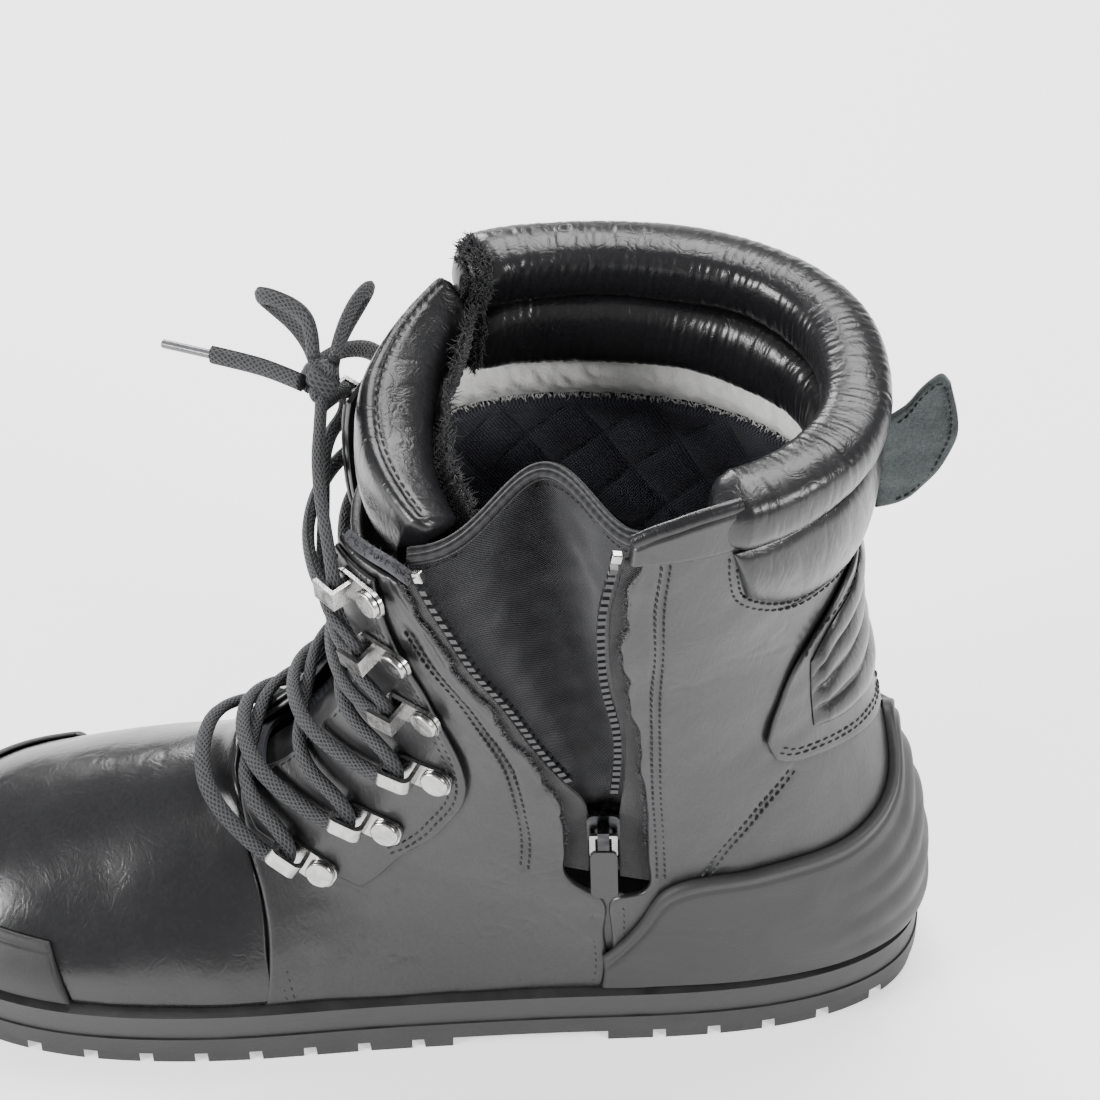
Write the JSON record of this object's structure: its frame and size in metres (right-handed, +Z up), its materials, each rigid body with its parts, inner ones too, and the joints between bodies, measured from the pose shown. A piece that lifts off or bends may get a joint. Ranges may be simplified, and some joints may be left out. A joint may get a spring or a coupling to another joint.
{
  "type": "fire boot",
  "caption": "Right lace-up leather fire boot, ankle high, with a padded collar, an inner side zip with a folding gusset, lacing lugs and hooks, a pull tab and a lugged rubber sole.",
  "frame": {"origin": "on the ground under the middle of the boot's box, laces aside", "axes": "+X from the toe to the heel, -Y to the inner (zip) side, +Z up"},
  "size_m": [0.3242, 0.1288, 0.2456],
  "materials": {
    "black_leather": "smooth full-grain leather, semi-gloss, fine creases",
    "collar_leather": "soft padded nappa leather with fine cross wrinkles",
    "suede": "grey suede with a stitched edge",
    "sole_rubber": "moulded matt black rubber",
    "midsole_rubber": "dense foamed rubber",
    "tab_rubber": "moulded black rubber",
    "lining_textile": "quilted black mesh textile",
    "twill": "black twill",
    "knit": "ribbed knit with a frayed edge",
    "pale_fleece": "pale non-woven fleece",
    "foam": "textile covered foam",
    "zip_tape": "woven black zip tape",
    "zip_plastic": "moulded black plastic teeth",
    "nickel": "nickel plated, polished",
    "steel": "plain steel",
    "composite": "composite",
    "board": "fibre board",
    "lace": "braided polyester lace",
    "aglet": "clear grey plastic"
  },
  "bodies": {
    "boot": {"outsole": "sole_rubber", "midsole": "midsole_rubber", "shank": "steel", "insole_board": "board", "puncture_plate": "composite", "footbed": "foam", "heel_cup": "sole_rubber", "heel_counter": "composite", "toe_bumper": "sole_rubber", "toe_cap": "composite", "vamp": "black_leather", "vamp_interlining": "foam", "front_panel_inner": "black_leather", "front_panel_outer": "black_leather", "rear_panel_inner": "black_leather", "rear_panel_outer": "black_leather", "eyestay_inner": "black_leather", "eyestay_outer": "black_leather", "back_stay": "black_leather", "achilles_pad": "black_leather", "collar_outer_pad": "collar_leather", "collar_upper_roll": "collar_leather", "collar_lower_roll": "collar_leather", "collar_band": "pale_fleece", "leg_padding": "foam", "leg_lining": "lining_textile", "front_lining": "lining_textile", "foot_lining": "lining_textile", "tongue_lower": "black_leather", "zip_tape_front": "zip_tape", "zip_tape_rear": "zip_tape", "zip_teeth_front": "zip_plastic", "zip_teeth_rear": "zip_plastic", "zip_closed_chain": "zip_plastic", "zip_bottom_stop": "nickel", "zip_top_stops": "nickel", "zip_gusset": "twill", "gusset_edge": "twill", "lace_lugs_inner": "nickel", "lace_lugs_outer": "nickel", "lace_hooks_inner": "nickel", "lace_hooks_outer": "nickel", "rivets_inner": "nickel", "rivets_outer": "nickel", "lace_laced": "lace", "lace_knot": "lace", "bow_loop_front": "lace", "bow_loop_side": "lace", "lace_end_front": "lace", "lace_end_side": "lace", "aglet_front": "aglet", "aglet_side": "aglet"},
    "zip_slider": {"zip_slider": "nickel"},
    "zip_puller": {"zip_puller_link": "nickel", "zip_pull_tab": "tab_rubber"},
    "heel_tab": {"heel_pull_tab": "suede"},
    "tongue_top": {"tongue_pad": "collar_leather", "tongue_knit_strip": "knit"}
  },
  "joints": [
    {"name": "zip_slide", "type": "slide", "parent": "boot", "child": "zip_slider", "axis": [0.0258, 0.0424, -0.9988], "range_m": [0, 0.011]},
    {"name": "puller_swing", "type": "hinge", "parent": "zip_slider", "child": "zip_puller", "pos_m": [0.05903, -0.04816, 0.09693], "axis": [-0.9995, 0.0167, -0.0251], "range_deg": [0, 120]},
    {"name": "heel_tab_bend", "type": "hinge", "parent": "boot", "child": "heel_tab", "pos_m": [0.13742, -0.0025, 0.203], "axis": [0, 0, 1], "range_deg": [-50, 50]},
    {"name": "tongue_tilt", "type": "hinge", "parent": "boot", "child": "tongue_top", "pos_m": [-0.00448, -0.0025, 0.191], "axis": [0, 1, 0], "range_deg": [0, 6]}
  ]
}
